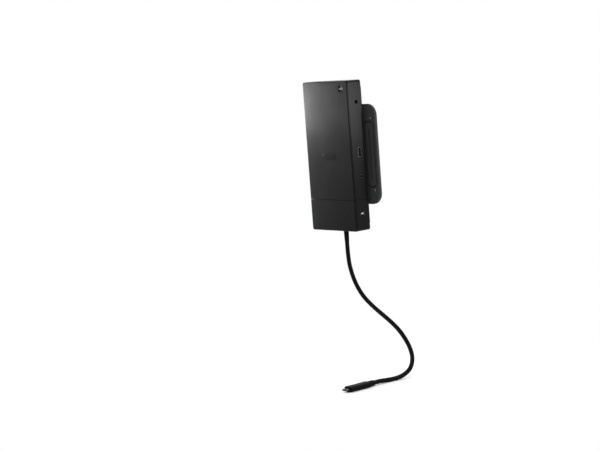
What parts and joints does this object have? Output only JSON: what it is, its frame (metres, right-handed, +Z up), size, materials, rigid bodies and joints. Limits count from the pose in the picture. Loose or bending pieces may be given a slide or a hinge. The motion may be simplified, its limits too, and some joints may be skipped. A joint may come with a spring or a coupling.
{
  "type": "docking station in a screen holder",
  "caption": "Slim upright docking station held in a flat plate bracket behind a screen, with side sockets, a power button and a captive data lead ending in a small plug.",
  "frame": {"origin": "centre of the screen hole pattern, on the back face of the mount plate", "axes": "+Y out of the plate's back towards the screen, +Z up along the dock, +X to the right seen from the front"},
  "size_m": [0.2019, 0.1617, 0.3995],
  "materials": {
    "cover_plastic": "satin black moulding",
    "case_plastic": "satin black moulding",
    "badge_gloss": "polished blank inlay",
    "button_plastic": "satin black cap",
    "light_guide": "translucent white light guide",
    "soft_rubber": "soft black rubber",
    "holder_steel": "fine charcoal powder coat",
    "screw_steel": "zinc plated steel",
    "socket_steel": "dark nickel plated sheet",
    "socket_plastic": "black contact carrier",
    "brass": "turned brass",
    "board_green": "green solder mask",
    "chip_black": "moulded chip package",
    "heatsink_aluminium": "plain extruded aluminium",
    "thermal_grey": "soft thermal pad",
    "copper_coil": "lacquered copper winding",
    "ribbon_amber": "amber film ribbon",
    "lead_jacket": "satin black cable jacket",
    "plug_plastic": "moulded black grip"
  },
  "bodies": {
    "dock": {"top_cover": "cover_plastic", "main_case": "case_plastic", "module_cover": "cover_plastic", "module_case": "case_plastic", "blank_badge": "badge_gloss", "rubber_feet": "soft_rubber", "cover_screws": "screw_steel", "module_screws": "screw_steel", "switch_body": "socket_steel", "button_board": "board_green", "button_ribbon": "ribbon_amber", "mainboard": "board_green", "module_board": "board_green", "board_screws": "screw_steel", "link_socket": "socket_plastic", "link_plug": "socket_plastic", "main_chip": "chip_black", "board_chips": "chip_black", "shield_can": "socket_steel", "coils": "chip_black", "capacitors": "socket_plastic", "thermal_pad": "thermal_grey", "heatsink": "heatsink_aluminium", "fan_frame": "socket_plastic", "fan_cover": "socket_steel", "fan_bearing": "brass", "fan_stator": "copper_coil", "power_inlet": "socket_plastic", "inlet_pin": "brass", "network_socket": "socket_steel", "network_contacts": "brass", "flat_socket_shells": "socket_steel", "flat_socket_tongues": "socket_plastic", "oval_socket_shells": "socket_steel", "oval_socket_tongues": "socket_plastic", "video_socket_shell": "socket_steel", "video_socket_tongue": "socket_plastic", "display_socket_shells": "socket_steel", "display_socket_tongues": "socket_plastic", "headset_jack": "socket_plastic", "lock_liner": "screw_steel", "lead_boot": "lead_jacket", "lead_tail": "lead_jacket", "lead_clamp": "socket_plastic", "data_lead": "lead_jacket", "plug_relief": "lead_jacket", "plug_grip": "plug_plastic", "plug_shell": "socket_steel", "plug_insert": "socket_plastic", "mount_plate": "holder_steel", "spacers": "screw_steel", "spacer_screws": "screw_steel", "carrier": "holder_steel", "threaded_inserts": "brass", "dock_screws": "screw_steel"},
    "button": {"power_button": "button_plastic", "button_light_bar": "light_guide", "switch_plunger": "button_plastic"},
    "rotor": {"fan_rotor": "socket_plastic"}
  },
  "joints": [
    {"name": "button_press", "type": "slide", "parent": "dock", "child": "button", "axis": [0, 1, 0], "range_m": [0, 0.0008], "stiffness_N_per_m": 1500, "springref_m": -0.0004},
    {"name": "fan_spin", "type": "hinge", "parent": "dock", "child": "rotor", "pos_m": [0.003, -0.024, 0.058], "axis": [0, 1, 0], "continuous": true}
  ]
}
